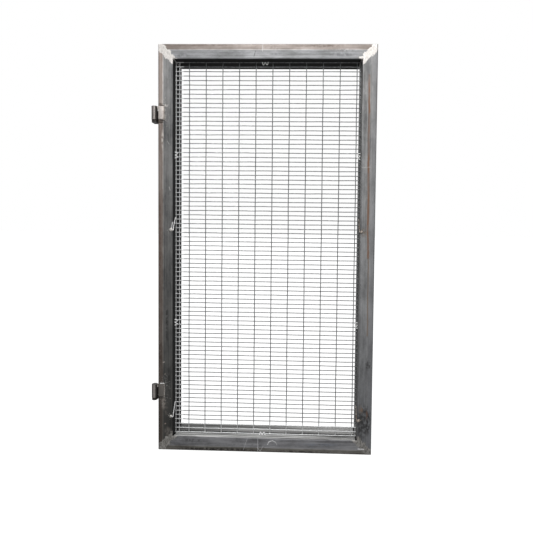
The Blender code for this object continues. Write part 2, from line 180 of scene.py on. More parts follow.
def bare_tube_steel(name, upright, scale_colours, dust, roll_line, painted_low_shade, inner_light_and_shade, marks):
    """Mill scale on a frame tube.

    The inner colours are painted light and shade on the face towards the opening: behind the mesh at
    its hinge end, behind it at its latch end, and in front of it. The low shade colour is painted shade
    that darkens the lower part. Marks are (mask maker, colour, strength) laid on the front and back faces.
    """
    material, tree, shader, place = start_finish(name, metallic=0.35, roughness=0.5)
    where = place["Object"]
    from_side, from_end, point = gate_edges(tree, where)
    across, inward_sign = (from_side, 0) if upright else (from_end, 2)
    facing = add_node(tree, "ShaderNodeSeparateXYZ", {0: place["Normal"]}).outputs
    flat_face = add_node(tree, "ShaderNodeMath", {0: facing[1]}, operation="ABSOLUTE").outputs[0]
    flat_face = add_node(tree, "ShaderNodeMapRange", {0: flat_face, 1: 0.6, 2: 0.9}).outputs[0]

    cell = (DRAW_STREAK, DRAW_STREAK, DRAW_STREAK_LENGTH)
    islands = (SCALE_PATCH, SCALE_PATCH, SCALE_PATCH * 2.5)
    if not upright:
        cell, islands = cell[::-1], islands[::-1]
    streaks = grain(tree, where, cell, detail=4.0)
    patches = grain(tree, where, islands, detail=5.0, roughness=0.65)
    grit = grain(tree, where, (SCALE_GRAIN,) * 3, detail=2.0)
    mixed = add_node(tree, "ShaderNodeMix", {0: 0.6, 2: streaks, 3: patches}).outputs[0]
    mixed = add_node(tree, "ShaderNodeMix", {0: 0.16, 2: mixed, 3: grit}).outputs[0]
    scale = add_node(tree, "ShaderNodeValToRGB", {0: mixed})
    scale.color_ramp.elements[0].position, scale.color_ramp.elements[1].position = 0.40, 0.60
    scale.color_ramp.elements[0].color = linear(scale_colours[0])
    scale.color_ramp.elements[1].color = linear(scale_colours[1])

    # Dust and flash rust on the outer third of the face, thin enough for the streaks to show.
    ragged = add_node(tree, "ShaderNodeMapRange", {0: patches, 1: 0.3, 2: 0.7, 3: -DUST_RAGGED,
                                                   4: DUST_RAGGED})
    edge = add_node(tree, "ShaderNodeMath", {0: across, 1: ragged.outputs[0]}, operation="ADD").outputs[0]
    band = add_node(tree, "ShaderNodeMapRange",
                    {0: edge, 1: DUST_BAND - 0.001, 2: DUST_BAND + 0.001, 3: DUST_COVER, 4: 0.0},
                    interpolation_type="SMOOTHSTEP")
    band = add_node(tree, "ShaderNodeMath", {0: band.outputs[0], 1: flat_face}, operation="MULTIPLY")
    dusty = add_node(tree, "ShaderNodeValToRGB", {0: mixed})
    dusty.color_ramp.elements[0].position, dusty.color_ramp.elements[1].position = 0.38, 0.62
    dusty.color_ramp.elements[0].color = linear(dust[0])
    dusty.color_ramp.elements[1].color = linear(dust[1])
    colour = add_node(tree, "ShaderNodeMix", {0: band.outputs[0], 6: scale.outputs[0], 7: dusty.outputs[0]},
                      data_type="RGBA").outputs[2]

    # The line left between two forming rolls, polished in places.
    off_line = add_node(tree, "ShaderNodeMath", {0: edge, 1: DUST_BAND + ROLL_LINE}, operation="SUBTRACT")
    off_line = add_node(tree, "ShaderNodeMath", {0: off_line.outputs[0]}, operation="ABSOLUTE")
    rubbed = add_node(tree, "ShaderNodeMapRange", {0: patches, 1: 0.36, 2: 0.60, 3: 0.15, 4: 0.8})
    line = add_node(tree, "ShaderNodeMapRange", {0: off_line.outputs[0], 1: ROLL_LINE * 0.6,
                                                 2: ROLL_LINE * 1.6, 3: rubbed.outputs[0], 4: 0.0},
                    interpolation_type="SMOOTHSTEP")
    line = add_node(tree, "ShaderNodeMath", {0: line.outputs[0], 1: flat_face}, operation="MULTIPLY")
    colour = add_node(tree, "ShaderNodeMix", {0: line.outputs[0], 6: colour, 7: linear(roll_line)},
                      data_type="RGBA").outputs[2]

    # Painted shade: the lower part of each member is tinted darker, fading out towards the head.
    low = add_node(tree, "ShaderNodeMapRange", {0: point[2], 1: SHADE_MARGIN, 2: LEAF_HEIGHT - SHADE_MARGIN})
    low_shading = add_node(tree, "ShaderNodeMix", {0: low.outputs[0], 6: linear(painted_low_shade), 7: linear("#ffffff")},
                    data_type="RGBA")
    colour = add_node(tree, "ShaderNodeMix", {0: 1.0, 6: colour, 7: low_shading.outputs[2]}, data_type="RGBA",
                      blend_type="MULTIPLY").outputs[2]

    # Faces towards the opening are painted light and shade: painted shade near black on the hinge stile
    # and the top rail and mid grey on the latch stile, and painted light on the bottom rail's top face,
    # lighter towards the latch end and in front of the mesh. A painted shadow of the mesh runs along the
    # rails.
    middle = 0.0 if upright else LEAF_HEIGHT / 2
    side = add_node(tree, "ShaderNodeMath", {0: point[inward_sign], 1: middle}, operation="SUBTRACT")
    side = add_node(tree, "ShaderNodeMath", {0: side.outputs[0]}, operation="SIGN")
    inward = add_node(tree, "ShaderNodeMath", {0: facing[inward_sign], 1: side.outputs[0]},
                      operation="MULTIPLY")
    inward = add_node(tree, "ShaderNodeMapRange", {0: inward.outputs[0], 1: -0.55, 2: -0.85}).outputs[0]
    along = add_node(tree, "ShaderNodeMapRange", {0: point[0], 1: -LEAF_HALF_WIDTH, 2: LEAF_HALF_WIDTH})
    painted_shading = add_node(tree, "ShaderNodeMix", {0: along.outputs[0], 6: linear(inner_light_and_shade[0]),
                                            7: linear(inner_light_and_shade[1])}, data_type="RGBA").outputs[2]
    lip = add_node(tree, "ShaderNodeMapRange",
                   {0: point[1], 1: MESH_FRONT - 0.003, 2: MESH_FRONT - 0.001, 3: 1.0, 4: 0.0},
                   interpolation_type="SMOOTHSTEP")
    painted_shading = add_node(tree, "ShaderNodeMix", {0: lip.outputs[0], 6: painted_shading, 7: linear(inner_light_and_shade[2])},
                    data_type="RGBA").outputs[2]
    streaked = add_node(tree, "ShaderNodeMapRange", {0: streaks, 1: 0.42, 2: 0.57, 3: 0.20, 4: 1.45})
    painted_shading = add_node(tree, "ShaderNodeMix", {0: 1.0, 6: painted_shading, 7: streaked.outputs[0]}, data_type="RGBA",
                    blend_type="MULTIPLY").outputs[2]
    # Painted shadow of the mesh along the rail.
    if not upright:
        off_mesh_shadow = add_node(tree, "ShaderNodeMath", {0: point[1], 1: MESH_FRONT + MESH_SHADOW_AT},
                            operation="SUBTRACT")
        off_mesh_shadow = add_node(tree, "ShaderNodeMath", {0: off_mesh_shadow.outputs[0]}, operation="ABSOLUTE")
        mesh_shadow = add_node(tree, "ShaderNodeMapRange",
                           {0: off_mesh_shadow.outputs[0], 1: MESH_SHADOW_REACH[0], 2: MESH_SHADOW_REACH[1], 3: 0.85, 4: 0.0},
                           interpolation_type="SMOOTHSTEP")
        painted_shading = add_node(tree, "ShaderNodeMix", {0: mesh_shadow.outputs[0], 6: painted_shading, 7: linear("#111110")},
                        data_type="RGBA").outputs[2]
    colour = add_node(tree, "ShaderNodeMix", {0: inward, 6: colour, 7: painted_shading}, data_type="RGBA").outputs[2]

    # Mitres dressed back to bright metal with a disc, in overlapping scallops.
    off_mitre = add_node(tree, "ShaderNodeMath", {0: from_side, 1: from_end}, operation="SUBTRACT")
    off_mitre = add_node(tree, "ShaderNodeMath", {0: off_mitre.outputs[0]}, operation="ABSOLUTE")
    off_mitre = add_node(tree, "ShaderNodeMath", {0: off_mitre.outputs[0], 1: math.sqrt(0.5)},
                         operation="MULTIPLY")
    scallops = grain(tree, where, (SCALLOP, 0.5, SCALLOP), detail=1.0)
    scallops = add_node(tree, "ShaderNodeMapRange", {0: scallops, 1: 0.3, 2: 0.7, 3: SCALLOP_REACH[0],
                                                     4: SCALLOP_REACH[1]})
    off_mitre = add_node(tree, "ShaderNodeMath", {0: off_mitre.outputs[0], 1: scallops.outputs[0]},
                         operation="ADD")
    metal, disc_marks = dressed_metal(tree, where, point[2])
    bared = add_node(tree, "ShaderNodeMapRange", {0: off_mitre.outputs[0], 1: DRESSED_HALF_WIDTH - 0.003,
                                                  2: DRESSED_HALF_WIDTH, 3: 0.96, 4: 0.0},
                     interpolation_type="SMOOTHSTEP")
    outward = add_node(tree, "ShaderNodeMath", {0: 1.0, 1: inward}, operation="SUBTRACT").outputs[0]
    bared = add_node(tree, "ShaderNodeMath", {0: bared.outputs[0], 1: outward},
                     operation="MULTIPLY").outputs[0]
    colour = add_node(tree, "ShaderNodeMix", {0: bared, 6: colour, 7: metal}, data_type="RGBA").outputs[2]

    for make_mask, mark_colour, strength in marks:
        mask = add_node(tree, "ShaderNodeMath", {0: make_mask(tree, where, patches), 1: flat_face},
                        operation="MULTIPLY")
        mask = add_node(tree, "ShaderNodeMath", {0: mask.outputs[0], 1: strength}, operation="MULTIPLY")
        colour = add_node(tree, "ShaderNodeMix", {0: mask.outputs[0], 6: colour, 7: linear(mark_colour)},
                          data_type="RGBA").outputs[2]

    shine = add_node(tree, "ShaderNodeMapRange", {0: mixed, 1: 0.3, 2: 0.7, 3: 0.58, 4: 0.42})
    shine = add_node(tree, "ShaderNodeMix", {0: bared, 2: shine.outputs[0], 3: 0.40}).outputs[0]
    shine = add_node(tree, "ShaderNodeMix", {0: inward, 2: shine, 3: 0.85}).outputs[0]
    metallic = add_node(tree, "ShaderNodeMath", {0: outward, 1: 0.35}, operation="MULTIPLY")
    relief = add_node(tree, "ShaderNodeMix", {0: bared, 2: mixed, 3: disc_marks}).outputs[0]
    bump = add_node(tree, "ShaderNodeBump", {"Strength": 0.35, "Distance": 0.0006, "Height": relief})
    tree.links.new(colour, shader.inputs["Base Color"])
    tree.links.new(metallic.outputs[0], shader.inputs["Metallic"])
    tree.links.new(shine, shader.inputs["Roughness"])
    tree.links.new(bump.outputs[0], shader.inputs["Normal"])
    return material


PATCH_RAG = (0.012, 0.012, 0.018)       # size of the rags at the edge of a ragged patch
STROKE_SKIP = 0.0025                     # spots where a stroke skips over the scale
STROKE_HALF_WIDTH = 0.0012
RUN_WANDER = 0.0022                     # rust runs wander this far to either side
RUN_BEND = 0.120                        # over this length


def ragged_patch(centre, half_sizes, soft=0.7):
    """A mask maker for a ragged patch: oil, rust and dust, and also painted shadows and highlights."""
    def mask(tree, where, patches):
        ragged = grain(tree, where, PATCH_RAG, detail=4.0)
        ragged = add_node(tree, "ShaderNodeMapRange", {0: ragged, 1: 0.38, 2: 0.54})
        whole = patch(tree, where, centre, half_sizes, soft)
        return add_node(tree, "ShaderNodeMath", {0: whole, 1: ragged.outputs[0]},
                        operation="MULTIPLY").outputs[0]
    return mask


def broken_stroke(start, end, half_width=STROKE_HALF_WIDTH):
    """A mask maker for one stroke, broken where it skips over the scale: chalk and scriber marks, and also
    painted highlights.
    """
    def mask(tree, where, patches):
        skips = grain(tree, where, (STROKE_SKIP,) * 3, detail=1.0)
        skips = add_node(tree, "ShaderNodeMapRange", {0: skips, 1: 0.36, 2: 0.56, 3: 0.15, 4: 1.0})
        whole = stroke(tree, where, start, end, half_width)
        return add_node(tree, "ShaderNodeMath", {0: whole, 1: skips.outputs[0]},
                        operation="MULTIPLY").outputs[0]
    return mask


def rust_run(top, bottom, half_width):
    """A mask maker for rust that has run down a stile between two (x, z) points."""
    def mask(tree, where, patches):
        wander = grain(tree, where, (1.0, 1.0, RUN_BEND), detail=3.0)
        wander = add_node(tree, "ShaderNodeMapRange", {0: wander, 1: 0.3, 2: 0.7, 3: -RUN_WANDER,
                                                       4: RUN_WANDER})
        moved = add_node(tree, "ShaderNodeCombineXYZ", {0: wander.outputs[0]})
        moved = add_node(tree, "ShaderNodeVectorMath", {0: where, 1: moved.outputs[0]}, operation="ADD")
        broken = add_node(tree, "ShaderNodeMapRange", {0: patches, 1: 0.40, 2: 0.54, 3: 0.45, 4: 1.0})
        whole = stroke(tree, moved.outputs[0], top, bottom, half_width)
        return add_node(tree, "ShaderNodeMath", {0: whole, 1: broken.outputs[0]},
                        operation="MULTIPLY").outputs[0]
    return mask


HINGE_STILE_MARKS = [
    (ragged_patch((-0.4580, 0.600), (0.0085, 0.115)), "#161615", 0.80),     # oil run
    (ragged_patch((-0.4480, 0.330), (0.0100, 0.090)), "#1a1a19", 0.60),
    (ragged_patch((-0.4880, 0.470), (0.0110, 0.070)), "#3a2c22", 0.65),     # rusty scuff
    (ragged_patch((-0.4900, 0.980), (0.0090, 0.300)), "#5a4437", 0.55),
    (ragged_patch((-0.4780, 1.455), (0.0080, 0.060)), "#d6cfc8", 0.85),     # weld smoke wiped down
    (ragged_patch((-0.4860, 1.530), (0.0160, 0.008)), "#2e2722", 0.90),     # painted shadow under the flag
    (ragged_patch((-0.4860, 1.612), (0.0160, 0.005)), "#37302b", 0.85),     # and over it
    (ragged_patch((-0.4610, 1.607), (0.0110, 0.009)), "#f0ebe6", 0.90),     # smoke at its upper corner
    (ragged_patch((-0.4640, 1.565), (0.0040, 0.036)), "#cfcac5", 0.75),
    (ragged_patch((-0.4860, 0.247), (0.0160, 0.006)), "#1d1a18", 0.85),     # painted shadow under the lower flag
    (ragged_patch((-0.4770, 1.720), (0.0030, 0.075)), "#e6e2de", 0.80),     # painted highlight on the seam
    (ragged_patch((-0.4740, 0.225), (0.0170, 0.040)), "#9a938c", 0.75),
    (ragged_patch((-0.4600, 0.190), (0.0120, 0.035)), "#6f6a65", 0.60),
    (ragged_patch((-0.4540, 0.090), (0.0240, 0.030)), "#7b756f", 0.60),
    (broken_stroke((-0.4745, 0.4175), (-0.4700, 0.4195), 0.0026), "#c9c2bb", 0.9),
    (broken_stroke((-0.4675, 0.1255), (-0.4640, 0.1270), 0.0024), "#c7b5aa", 0.9),
    (broken_stroke((-0.4685, 0.3615), (-0.4650, 0.3625), 0.0020), "#b5ada5", 0.9),
    (broken_stroke((-0.4480, 1.235), (-0.4430, 1.220), 0.0016), "#d6d4d1", 0.8),
    (broken_stroke((-0.4560, 1.445), (-0.4480, 1.430), 0.0014), "#c9c7c4", 0.7),
]
LATCH_STILE_MARKS = [
    (rust_run((0.4610, 1.745), (0.4695, 0.920), 0.0050), "#775236", 0.88),
    (rust_run((0.4695, 0.920), (0.4720, 0.560), 0.0030), "#76604c", 0.68),
    (ragged_patch((0.4600, 0.160), (0.0420, 0.100), 0.5), "#191614", 0.72),   # oil near the lower corner
    (ragged_patch((0.4830, 0.150), (0.0100, 0.060)), "#191614", 0.70),
    (ragged_patch((0.4780, 0.424), (0.0170, 0.030)), "#2b2a29", 0.75),
    (ragged_patch((0.4480, 0.215), (0.0150, 0.026)), "#857263", 0.80),
    (ragged_patch((0.4760, 0.190), (0.0070, 0.030)), "#7b5d4c", 0.65),
    (ragged_patch((0.4480, 1.035), (0.0170, 0.026)), "#6f6252", 0.70),      # smoke round the upper tie
    (ragged_patch((0.4440, 1.560), (0.0100, 0.200)), "#565656", 0.45),
    (broken_stroke((0.4350, 1.330), (0.4720, 1.333), 0.0012), "#c9c7c3", 0.7),
]
TOP_RAIL_MARKS = [
    (ragged_patch((0.2500, 1.875), (0.1500, 0.009), 0.9), "#54463c", 0.80),
    (ragged_patch((0.3300, 1.855), (0.1200, 0.012), 0.9), "#4b4846", 0.60),
    (ragged_patch((0.0100, 1.864), (0.0900, 0.014), 0.9), "#c4bdb8", 0.30),
    (ragged_patch((0.3400, 1.836), (0.0900, 0.014), 0.9), "#4c4d50", 0.65),
    (ragged_patch((-0.3900, 1.832), (0.0500, 0.014), 0.9), "#4c4d4f", 0.55),
    (ragged_patch((-0.2700, 1.878), (0.1600, 0.006), 0.9), "#5d4b42", 0.70),
    (broken_stroke((-0.0220, 1.850), (-0.0210, 1.882), 0.0012), "#d6d4d2", 0.65),   # middle of the rail
    (broken_stroke((-0.0540, 1.852), (-0.0600, 1.828), 0.0018), "#37373a", 0.85),
    (ragged_patch((0.0400, 1.838), (0.0350, 0.008), 0.8), "#55565a", 0.55),       # thumbed chalk
]
BOTTOM_RAIL_MARKS = [
    (ragged_patch((-0.0500, 0.036), (0.2300, 0.009), 0.9), "#a8a8ab", 0.55),
    (ragged_patch((-0.2200, 0.010), (0.2600, 0.010), 0.6), "#24221f", 0.85),
    (ragged_patch((-0.3300, 0.050), (0.1000, 0.012), 0.9), "#3a3a3b", 0.60),
    (ragged_patch((0.1600, 0.008), (0.1800, 0.008), 0.6), "#2b2926", 0.80),
    (ragged_patch((0.2600, 0.045), (0.1400, 0.012), 0.9), "#8f95a0", 0.50),
    (broken_stroke((-0.0290, 0.064), (-0.0290, 0.004), 0.0014), "#dededf", 0.85),   # middle of the rail
    (broken_stroke((-0.0790, 0.064), (-0.0960, 0.012), 0.0013), "#c4c4c6", 0.80),
    (broken_stroke((-0.0310, 0.024), (-0.0180, 0.006), 0.0015), "#d0d0d2", 0.80),
    (broken_stroke((-0.0180, 0.006), (-0.0040, 0.030), 0.0015), "#d0d0d2", 0.80),
    (broken_stroke((0.0170, 0.040), (0.0240, 0.053), 0.0022), "#f4f4f5", 0.95),     # a hasty chalk sweep
    (broken_stroke((0.0240, 0.053), (0.0400, 0.058), 0.0024), "#ffffff", 0.95),
    (broken_stroke((0.0400, 0.058), (0.0540, 0.051), 0.0022), "#f4f4f5", 0.95),
    (broken_stroke((0.0540, 0.051), (0.0610, 0.038), 0.0018), "#d8d8d9", 0.85),
    (broken_stroke((0.0050, 0.025), (0.0500, 0.030), 0.0020), "#b5b5b8", 0.75),
    (broken_stroke((0.4385, 0.0285), (0.4725, 0.0285), 0.0028), "#ffffff", 0.98),   # painted highlight near the lower corner
]
# Painted shade: the hinge stile has darker scale colours and a much darker low shade than the latch stile.
FINISHES = {
    "hinge_stile": bare_tube_steel(
        "shaded_mill_scale_hinge_stile", True, ("#565758", "#969695"), ("#7c6a60", "#afa198"), "#e0d9d4",
        painted_low_shade="#807f7b", inner_light_and_shade=("#0d0d0c",) * 3, marks=HINGE_STILE_MARKS),
    "latch_stile": bare_tube_steel(
        "mill_scale_latch_stile", True, ("#696969", "#a5a5a4"), ("#777777", "#9f9fa0"), "#a09e9c",
        painted_low_shade="#d0d2d6", inner_light_and_shade=("#6a6a69",) * 3, marks=LATCH_STILE_MARKS),
    "top_rail": bare_tube_steel(
        "mill_scale_top_rail", False, ("#676868", "#9d9ea0"), ("#6c5f55", "#a2968e"), "#bfb8b4",
        painted_low_shade="#ffffff", inner_light_and_shade=("#080807",) * 3, marks=TOP_RAIL_MARKS),
    "bottom_rail": bare_tube_steel(
        "mill_scale_bottom_rail", False, ("#6a6a6c", "#b6b6b9"), ("#5c574f", "#a39f95"), "#c6c5c4",
        painted_low_shade="#d8d8d8", inner_light_and_shade=("#4b4b4a", "#a8a8a6", "#adadab"), marks=BOTTOM_RAIL_MARKS),
}


def give(piece, material):
    """Put one material on a whole piece."""
    piece.data.materials.clear()
    piece.data.materials.append(material)


for member, finish in FINISHES.items():
    give(nodes[member], finish)


# ---------------------------------------------------------------------------------------------
# Corner welds: a butt weld all round each mitre, filled and then dressed flush with a disc.
# The metal is bright and faintly brushed by the disc, whiter at the top than at the bottom,
# where it is darkened with painted shade.
# ---------------------------------------------------------------------------------------------
WELD_PIT = 0.0035           # pits left where the disc has not reached the bottom of the bead
INNER_SHADE = (0.004, 0.001)  # painted shade: the weld darkens between these distances from the opening


def dressed_weld():
    """Weld metal ground flush: pale and faintly brushed, pitted here and there, and painted black on the
    inside as painted shade.
    """
    material, tree, shader, place = start_finish("dressed_weld_metal", metallic=0.35, roughness=0.36)
    height = add_node(tree, "ShaderNodeSeparateXYZ", {0: place["Object"]}).outputs[2]
    metal, disc_marks = dressed_metal(tree, place["Object"], height)
    pits = grain(tree, place["Object"], (WELD_PIT,) * 3, detail=2.0)
    pits = add_node(tree, "ShaderNodeMapRange", {0: pits, 1: 0.30, 2: 0.35, 3: 0.6, 4: 0.0},
                    interpolation_type="SMOOTHSTEP")
    colour = add_node(tree, "ShaderNodeMix", {0: pits.outputs[0], 6: metal, 7: linear("#5c5650")},
                      data_type="RGBA").outputs[2]
    from_side, from_end, _ = gate_edges(tree, place["Object"])
    inner = add_node(tree, "ShaderNodeMath", {0: from_side, 1: from_end}, operation="MINIMUM").outputs[0]
    inner = add_node(tree, "ShaderNodeMapRange", {0: inner, 1: TUBE_FACE - INNER_SHADE[0],
                                                  2: TUBE_FACE - INNER_SHADE[1]})
    colour = add_node(tree, "ShaderNodeMix", {0: inner.outputs[0], 6: colour, 7: linear("#1a1918")},
                      data_type="RGBA").outputs[2]   # painted shade on the inside
    bump = add_node(tree, "ShaderNodeBump", {"Strength": 0.3, "Distance": 0.0005, "Height": disc_marks})
    tree.links.new(colour, shader.inputs["Base Color"])
    tree.links.new(bump.outputs[0], shader.inputs["Normal"])
    return material


corner_metal = dressed_weld()
for name in nodes:
    if name.startswith("corner_weld_"):
        give(nodes[name], corner_metal)


# ---------------------------------------------------------------------------------------------
# Mesh infill: one sheet of welded mesh, 4 mm galvanised wire. Cross wires every 20.7 mm lie in
# front of line wires every 77.5 mm, and each crossing is a resistance weld pressed in by 0.4 mm.
# Straightened off a coil, the wires stay a little wavy.
# ---------------------------------------------------------------------------------------------
WIRE = 0.004
CROSS_PITCH = 0.0207
LINE_PITCH = 0.0775
FIRST_LINE = 0.0635
SELVEDGE_LINE = 0.0175
EDGE_CLEARANCE = 0.001       # between the sheet and the frame
RIM_LIP = 0.0005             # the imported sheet's rim stands this far in front of its cross wires
PRESSED_IN = 0.0004          # how far the wires sink into each other at a crossing
WIRE_WAVE = 0.00055
NUGGET = (0.0024, 0.0027)    # least and most radius of the metal squeezed out at a crossing
NUGGET_SWELL = ((-0.0018, 0.0), (-0.0011, 0.8), (0.0, 1.0), (0.0011, 0.8), (0.0018, 0.0))
RIM_HIGHLIGHT = (0.036, 0.055)     # painted highlight this far in from the hinge stile and from the foot
RIM_HIGHLIGHT_FADE = 0.008
ZINC_BLOTCH = 0.009          # thick and thin spots of the coat
DRAWN_LINE = 0.0007          # lines left by the drawing die, as fine as shows


def sweep(bm, points, radii, sides):
    """A round bar along points, with a radius at each, closed with flat ends."""
    points = [Vector(p) for p in points]
    across = (points[1] - points[0]).orthogonal().normalized()
    rings = []
    for i, point in enumerate(points):
        ahead = (points[min(i + 1, len(points) - 1)] - points[max(i - 1, 0)]).normalized()
        across = (across - ahead * across.dot(ahead)).normalized()
        other = ahead.cross(across)
        rings.append([bm.verts.new(point + (across * math.cos(a) + other * math.sin(a)) * radii[i])
                      for a in (2 * math.pi * k / sides for k in range(sides))])
    for near, far in zip(rings, rings[1:]):
        for k in range(sides):
            j = (k + 1) % sides
            bm.faces.new((near[k], near[j], far[j], far[k]))
    bm.faces.new(rings[0][::-1])
    bm.faces.new(rings[-1])


def finish_piece(name, bm, material, body, replaced=(), sharp_angle=50):
    """Turn a bmesh into a smooth-shaded piece that rides on a body."""
    bmesh.ops.recalc_face_normals(bm, faces=bm.faces)
    mesh = bpy.data.meshes.new(name)
    bm.to_mesh(mesh)
    bm.free()
    mesh.shade_smooth()
    mesh.set_sharp_from_angle(angle=math.radians(sharp_angle))
    piece = bpy.data.objects.new(name, mesh)
    bpy.context.scene.collection.objects.link(piece)
    mesh.materials.append(material)
    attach(piece, body)
    if replaced:
        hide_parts(*replaced)
    return piece


def zinc_wire(name, metallic, thick_coat, thin_coat, rim_highlight):
    """Zinc on drawn wire, blotched where the coat is thick.

    Near the hinge stile and near the foot it shows the brighter rim colour, a painted highlight.
    """
    material, tree, shader, place = start_finish(name, metallic=metallic, roughness=0.4)
    blotches = grain(tree, place["Object"], (ZINC_BLOTCH,) * 3, detail=3.0)
    coat = add_node(tree, "ShaderNodeValToRGB", {0: blotches})
    coat.color_ramp.elements[0].position, coat.color_ramp.elements[1].position = 0.35, 0.65
    coat.color_ramp.elements[0].color = linear(thin_coat)
    coat.color_ramp.elements[1].color = linear(thick_coat)
    point = add_node(tree, "ShaderNodeSeparateXYZ", {0: place["Object"]}).outputs
    # Painted highlight near the hinge stile and the foot.
    limit = TUBE_FACE + RIM_HIGHLIGHT[0] - LEAF_HALF_WIDTH
    hinge_side = add_node(tree, "ShaderNodeMapRange",
                          {0: point[0], 1: limit, 2: limit + RIM_HIGHLIGHT_FADE, 3: 0.9, 4: 0.0},
                          interpolation_type="SMOOTHSTEP").outputs[0]
    limit = TUBE_FACE + RIM_HIGHLIGHT[1]
    foot = add_node(tree, "ShaderNodeMapRange",
                    {0: point[2], 1: limit, 2: limit + RIM_HIGHLIGHT_FADE, 3: 0.9, 4: 0.0},
                    interpolation_type="SMOOTHSTEP").outputs[0]
    rim = add_node(tree, "ShaderNodeMath", {0: hinge_side, 1: foot}, operation="MAXIMUM").outputs[0]
    colour = add_node(tree, "ShaderNodeMix", {0: rim, 6: coat.outputs[0], 7: linear(rim_highlight)},
                      data_type="RGBA").outputs[2]
    drawn = grain(tree, place["Object"], (DRAWN_LINE,) * 3, detail=1.0)
    bump = add_node(tree, "ShaderNodeBump", {"Strength": 0.15, "Distance": 0.0002, "Height": drawn})
    shine = add_node(tree, "ShaderNodeMapRange", {0: blotches, 1: 0.3, 2: 0.7, 3: 0.52, 4: 0.34})
    tree.links.new(colour, shader.inputs["Base Color"])
    tree.links.new(shine.outputs[0], shader.inputs["Roughness"])
    tree.links.new(bump.outputs[0], shader.inputs["Normal"])
    return material


def weave_mesh():
    panel_low, panel_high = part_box("mesh_panel")
    half_width, low, high = panel_high.x, panel_low.z, panel_high.z
    dice = random.Random(31)
    cells = round((high - low - WIRE) / CROSS_PITCH)
    pitch = (high - low - WIRE) / cells
    cross_depth = panel_low.y + RIM_LIP + WIRE / 2
    line_depth = cross_depth + WIRE - PRESSED_IN
    opening = half_width + EDGE_CLEARANCE
    line_count = int((2 * opening - FIRST_LINE - 2 * WIRE) / LINE_PITCH) + 1
    offsets = [SELVEDGE_LINE] + [FIRST_LINE + i * LINE_PITCH for i in range(line_count)]
    line_places = [-half_width + WIRE / 2]
    line_places += [-opening + offset + WIRE / 2 for offset in offsets]
    line_places.append(half_width - WIRE / 2)

    # Each wire has its own slow bow and quicker ripple; the outermost wires stay straight.
    waves = {}

    def wander(kind, index, along, straight):
        if (kind, index) not in waves:
            waves[kind, index] = [
                (dice.uniform(0.4, 1.0) * WIRE_WAVE, dice.uniform(*span), dice.uniform(0, 6.28))
                for span in ((0.5, 0.9), (0.13, 0.24), (0.06, 0.10))]
        if straight:
            return 0.0
        bow, ripple, kink = waves[kind, index]
        return sum(size * share * math.sin(2 * math.pi * along / length + start)
                   for share, (size, length, start) in zip((0.8, 0.6, 0.35), (bow, ripple, kink)))

    def cross_height(i, x):
        return low + WIRE / 2 + i * pitch + wander("cross", i, x, i in (0, cells))

    def line_across(j, z):
        return line_places[j] + wander("line", j, z, j in (0, len(line_places) - 1))

    bm = bmesh.new()
    for i in range(cells + 1):
        stops = []
        for left, right in zip(line_places, line_places[1:]):
            count = 4 if right - left > 0.03 else 2
            stops += [left + (right - left) * k / count for k in range(count)]
        stops = [-half_width] + stops + [line_places[-1], half_width]
        path = [(x, cross_depth, cross_height(i, x)) for x in stops]
        sweep(bm, path, [WIRE / 2] * len(path), 8)
    for j in range(len(line_places)):
        heights = [low] + [low + WIRE / 2 + i * pitch for i in range(cells + 1)] + [high]
        path = [(line_across(j, z), line_depth, z) for z in heights]
        sweep(bm, path, [WIRE / 2] * len(path), 8)
    for i in range(cells + 1):
        for j, x in enumerate(line_places):
            z = cross_height(i, x)
            middle = Vector((line_across(j, z), (cross_depth + line_depth) / 2, z))
            size = dice.uniform(*NUGGET)
            if min(half_width - abs(middle.x), middle.z - low, high - middle.z) > size:
                sweep(bm, [middle + Vector((0, depth, 0)) for depth, _ in NUGGET_SWELL],
                      [size * share + 0.0001 for _, share in NUGGET_SWELL], 8)
    mesh_wire = zinc_wire("galvanised_mesh_wire", 0.45, "#868889", "#5c5e5f", "#e0e1e1")
    finish_piece("welded_mesh", bm, mesh_wire, "leaf", ["mesh_panel"])


weave_mesh()


# ---------------------------------------------------------------------------------------------
# Mesh clips: 3.5 mm zinc-plated wire bent in a zigzag. Its peak is tacked to the frame and its
# valleys hold down the edge of the mesh. One sits in the middle of each rail, two on each stile.
# ---------------------------------------------------------------------------------------------
CLIP_WIRE = 0.0035
CLIP_BEND = 0.0025
CLIP_PITCH = 0.016
CLIP_REACH = 0.016
CLIP_TACK = (0.0031, 0.0042)  # radius and height of the weld at each end and at the peak
CLIP_TACK_INSET = 0.0006     # from the end of the wire
GAP = 0.0003                 # between a piece and what it is welded to


def round_bends(points, radius, steps):
    """The same path with an arc of the given radius at each corner."""
    points = [Vector(p) for p in points]
    path = [points[0]]
    for before, corner, after in zip(points, points[1:], points[2:]):
        back, ahead = (before - corner).normalized(), (after - corner).normalized()
        half = back.angle(ahead) / 2
        centre = corner + (back + ahead).normalized() * (radius / math.sin(half))
        start, end = (corner + leg * (radius / math.tan(half)) - centre for leg in (back, ahead))
        turn = start.angle(end)
        for step in range(steps + 1):
            share = step / steps
            spoke = start * math.sin((1 - share) * turn) + end * math.sin(share * turn)
            path.append(centre + spoke / math.sin(turn))
    path.append(points[-1])
    return path


